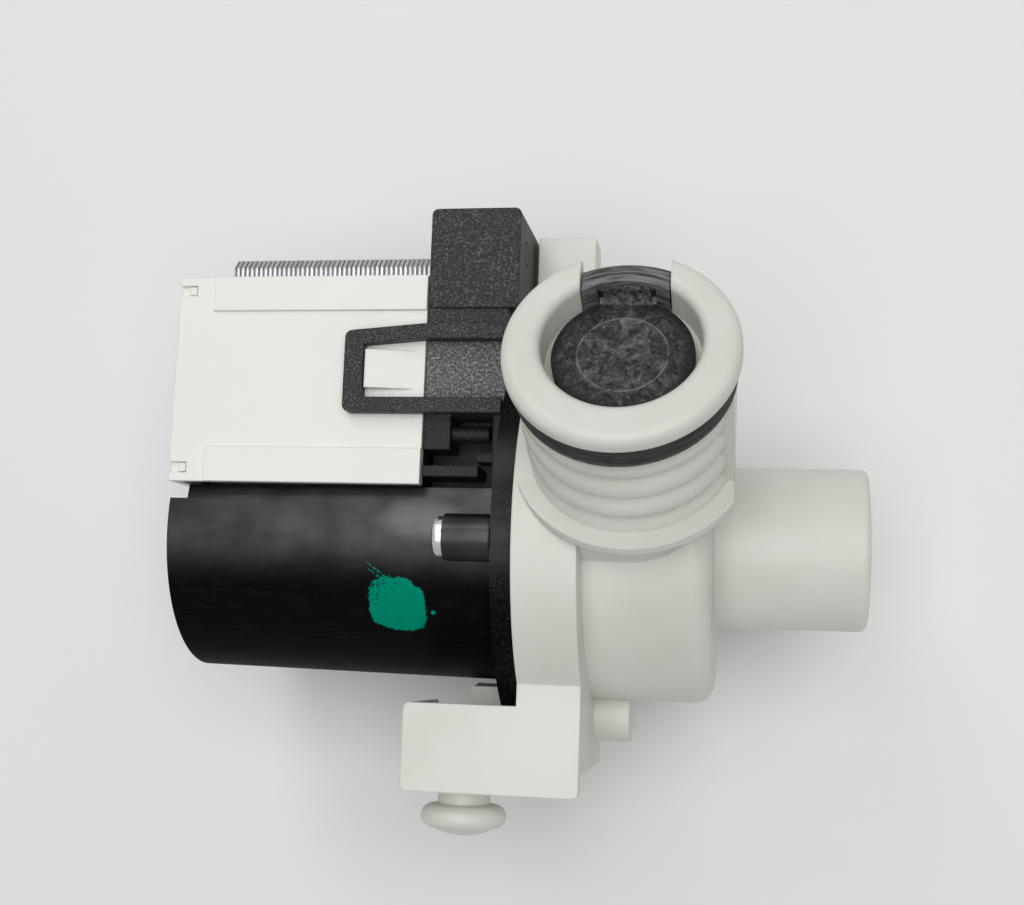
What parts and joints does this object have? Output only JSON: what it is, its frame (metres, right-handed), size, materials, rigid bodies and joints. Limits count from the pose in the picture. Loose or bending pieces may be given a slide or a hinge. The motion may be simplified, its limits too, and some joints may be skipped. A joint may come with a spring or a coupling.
{
  "type": "washer drain pump",
  "caption": "Washing machine drain pump with a white volute casing, straight inlet spigot, ribbed radial outlet with a rubber flap valve, black motor housing and boxed stator coils.",
  "frame": {"origin": "on the motor axis at the root of the inlet spigot, where it leaves the chamber's front face", "axes": "+X along the motor axis out of the inlet, +Z towards the outlet's side, +Y towards the connector block"},
  "size_m": [0.1304, 0.1161, 0.1064],
  "materials": {
    "casing_white": "satin, slightly translucent",
    "cover_white": "satin",
    "motor_black": "satin, glass-filled",
    "rubber": "chalky matt",
    "lamination_steel": "stacked sheet edges",
    "bright_steel": "zinc plated",
    "copper": "enamelled wire",
    "ferrite": "sintered, dull",
    "bronze": "sintered, oiled"
  },
  "bodies": {
    "pump_body": {"volute_housing": "casing_white", "mount_foot": "casing_white", "coil_cover": "cover_white", "bobbin_upper": "cover_white", "bobbin_lower": "cover_white", "motor_housing": "motor_black", "terminal_frame": "motor_black", "bearing_carrier": "motor_black", "outlet_seal": "rubber", "rear_bush_mount": "rubber", "shaft_seal": "rubber", "chamber_seal": "rubber", "stator_core": "lamination_steel", "terminals": "bright_steel", "front_thrust_washer": "bright_steel", "rear_thrust_washer": "bright_steel", "flange_screw": "bright_steel", "winding_upper": "copper", "winding_lower": "copper", "front_bush": "bronze", "rear_bush": "bronze"},
    "rotor": {"rotor_magnet": "ferrite", "rotor_hub": "cover_white", "rotor_shaft": "bright_steel", "drive_dog": "motor_black", "shaft_clip": "bright_steel"},
    "impeller": {"impeller": "casing_white", "impeller_cap": "casing_white"},
    "flap": {"valve_flap": "rubber"}
  },
  "joints": [
    {"name": "rotor_spin", "type": "hinge", "parent": "pump_body", "child": "rotor", "pos_m": [-0.07, 0, 0], "axis": [1, 0, 0], "continuous": true},
    {"name": "impeller_play", "type": "hinge", "parent": "rotor", "child": "impeller", "pos_m": [-0.025, 0, 0], "axis": [1, 0, 0], "range_deg": [-136, 136]},
    {"name": "flap_hinge", "type": "hinge", "parent": "pump_body", "child": "flap", "pos_m": [-0.0139, 0.03946, 0.04901], "axis": [-1, 0, 0], "range_deg": [0, 70], "stiffness_Nm_per_rad": 0.0006}
  ]
}
